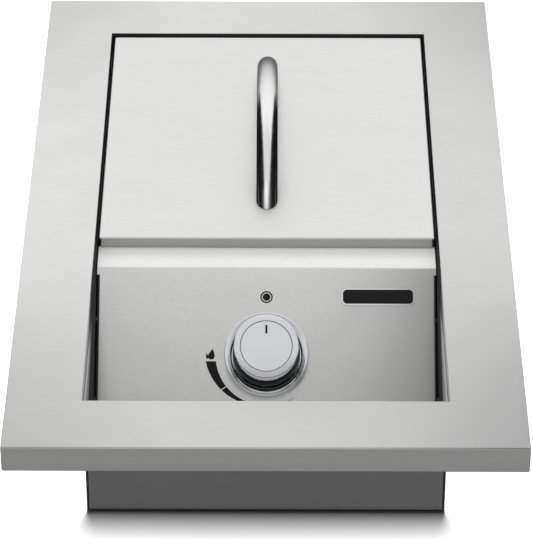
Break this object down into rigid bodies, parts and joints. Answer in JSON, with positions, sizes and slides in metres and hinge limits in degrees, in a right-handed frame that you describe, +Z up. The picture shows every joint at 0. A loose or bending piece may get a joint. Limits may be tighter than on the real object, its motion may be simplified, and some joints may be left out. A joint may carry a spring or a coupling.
{
  "type": "built-in side burner",
  "caption": "Drop-in gas side burner for an outdoor kitchen: folded trim frame, sloping control panel with a knob, round burner, drip pan, grate and lift-off lid with bow handle.",
  "frame": {"origin": "centre of the underside of the housing floor, which is also the bottom centre of the whole part's box", "axes": "+X to the cook's right when standing at the control knob, +Y away from the cook to the rear, +Z up out of the counter"},
  "size_m": [0.356, 0.59, 0.1404],
  "materials": {
    "satin_steel": "satin stainless steel with a fine grain",
    "box_steel": "dull mill-finish stainless steel",
    "polished_steel": "mirror-polished stainless steel rod",
    "chrome": "bright chrome plating",
    "satin_cap": "fine satin disc with a bluish sheen",
    "zinc": "zinc-plated steel",
    "brass": "turned brass",
    "aluminium": "cast and drawn aluminium",
    "cast_iron": "matt black enamelled casting",
    "enamel": "gloss black enamel on steel",
    "ceramic": "glazed white ceramic",
    "black_plastic": "black moulded plastic",
    "silicone": "dark grey silicone rubber"
  },
  "bodies": {
    "root": {"trim_frame": "satin_steel", "burner_box": "box_steel", "rivet_left_1": "zinc", "rivet_left_2": "zinc", "rivet_right_1": "zinc", "rivet_right_2": "zinc", "rivet_rear_1": "zinc", "rivet_rear_2": "zinc", "side_rail_left": "zinc", "side_rail_right": "zinc", "rear_rail": "zinc", "control_panel": "satin_steel", "panel_screw_left_1": "zinc", "panel_screw_left_2": "zinc", "panel_screw_right_1": "zinc", "panel_screw_right_2": "zinc", "heat_shield": "zinc", "shield_rivet_1": "zinc", "shield_rivet_2": "zinc", "knob_bezel": "chrome", "bezel_screw_1": "zinc", "bezel_screw_2": "zinc", "valve_bonnet": "zinc", "valve_screw_1": "zinc", "valve_screw_2": "zinc", "valve_body": "brass", "piezo_igniter": "black_plastic", "gas_orifice": "brass", "venturi_tube": "aluminium", "burner_base": "aluminium", "burner_cap": "cast_iron", "burner_bracket": "zinc", "burner_screw_1": "zinc", "burner_screw_2": "zinc", "electrode_bracket": "zinc", "electrode_ceramic": "ceramic", "electrode_rod": "zinc", "ignition_wire": "silicone", "supply_tube": "aluminium", "valve_nut": "brass", "inlet_nut": "brass", "gas_inlet_fitting": "brass", "inlet_locknut": "brass", "drip_pan": "enamel", "cooking_grate": "cast_iron"},
    "lid": {"lid_panel": "satin_steel", "lid_handle": "polished_steel", "handle_screw_1": "zinc", "handle_screw_2": "zinc", "lid_bumper_1": "silicone", "lid_bumper_2": "silicone", "lid_bumper_3": "silicone", "lid_bumper_4": "silicone"},
    "plug": {"valve_plug": "brass", "valve_spring": "zinc"},
    "knob": {"knob_body": "chrome", "knob_face": "satin_cap", "valve_stem": "zinc"},
    "shutter": {"air_shutter": "zinc"}
  },
  "joints": [
    {"name": "lid_lift", "type": "slide", "parent": "root", "child": "lid", "axis": [0, 0, 1], "range_m": [0, 0.15]},
    {"name": "knob_turn", "type": "hinge", "parent": "root", "child": "plug", "pos_m": [0, -0.12254, 0.04627], "axis": [0, -0.6293, 0.7771], "range_deg": [0, 210]},
    {"name": "knob_push", "type": "slide", "parent": "plug", "child": "knob", "axis": [0, 0.6293, -0.7771], "range_m": [0, 0.004], "stiffness_N_per_m": 600, "springref_m": -0.004, "deforming": ["valve_spring"]},
    {"name": "shutter_turn", "type": "hinge", "parent": "root", "child": "shutter", "pos_m": [0, -0.0587, 0.0249], "axis": [0, 1, 0], "range_deg": [-20, 25]}
  ]
}
